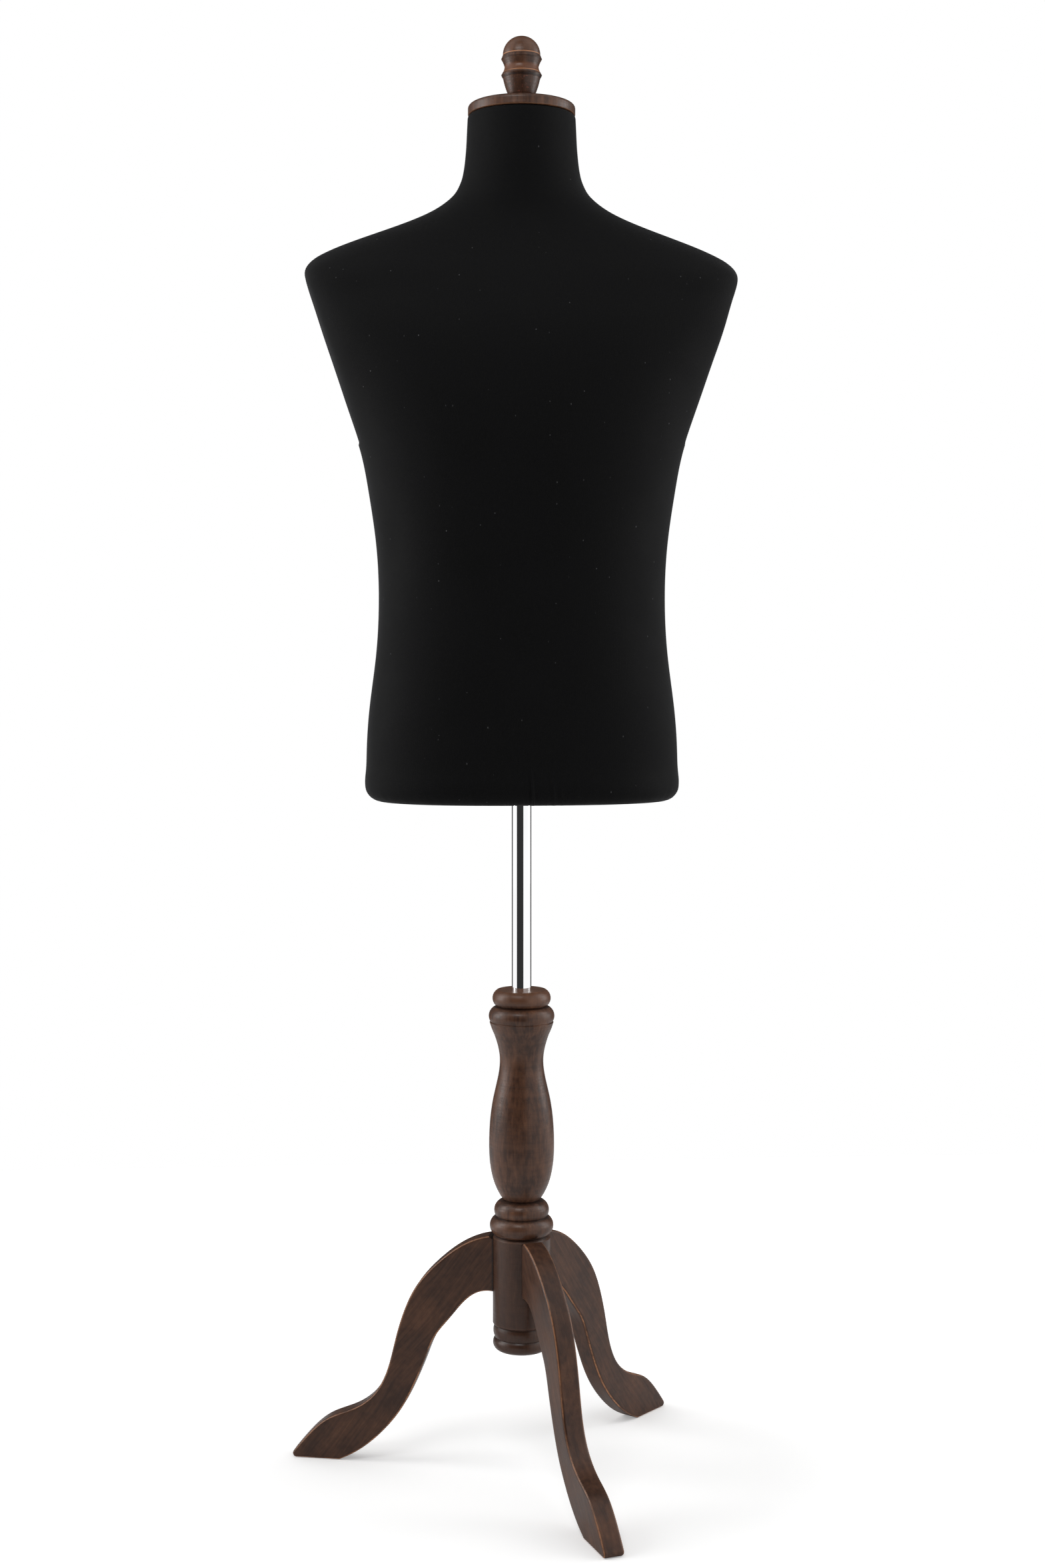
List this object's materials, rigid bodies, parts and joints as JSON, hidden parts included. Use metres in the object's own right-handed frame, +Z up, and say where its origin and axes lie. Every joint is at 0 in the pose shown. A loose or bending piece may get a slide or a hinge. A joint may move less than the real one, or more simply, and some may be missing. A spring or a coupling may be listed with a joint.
{
  "type": "torso display form",
  "caption": "Male torso display form in stretch jersey on a chrome pole and turned wooden tripod stand, with a wooden neck cap and finial; slides for height and swivels",
  "frame": {"origin": "on the floor plane, on the axis of the pole and column", "axes": "+Z up along the pole, torso faces -Y at rest, +X to the viewer's right seen from the front"},
  "size_m": [0.4523, 0.4089, 1.4544],
  "materials": {
    "walnut": "dark stained, satin lacquer",
    "pale_wood": "bare",
    "chrome": "mirror chrome",
    "steel": "zinc plated",
    "nylon": "moulded nylon",
    "knob": "fine texture",
    "foam": "moulded rigid foam skin",
    "jersey": "stretched jersey knit"
  },
  "bodies": {
    "stand": {"column": "walnut", "pole": "chrome", "pole_insert": "steel", "pole_glide": "nylon", "column_bolt": "steel", "column_washer": "steel", "leg_dowels": "pale_wood", "leg_front": "walnut", "leg_right": "walnut", "leg_left": "walnut"},
    "carriage": {"guide_bush": "nylon"},
    "torso": {"foam_front": "foam", "foam_rear": "foam", "jersey_cover": "jersey", "base_board": "pale_wood", "socket_flange": "steel", "socket_tube": "steel", "tube_cap": "nylon", "flange_screws": "steel", "neck_block": "pale_wood", "neck_cap": "walnut", "finial": "walnut", "finial_stud": "steel"},
    "lock": {"lock_screw": "steel", "lock_knob": "knob"}
  },
  "joints": [
    {"name": "height_slide", "type": "slide", "parent": "stand", "child": "carriage", "axis": [0, 0, 1], "range_m": [-0.12, 0.18]},
    {"name": "torso_swivel", "type": "hinge", "parent": "carriage", "child": "torso", "pos_m": [0, 0, 0.7], "axis": [0, 0, 1], "continuous": true},
    {"name": "lock_turn", "type": "hinge", "parent": "torso", "child": "lock", "pos_m": [0, 0.025, 0.691], "axis": [0, 1, 0], "range_deg": [-720, 0]}
  ]
}
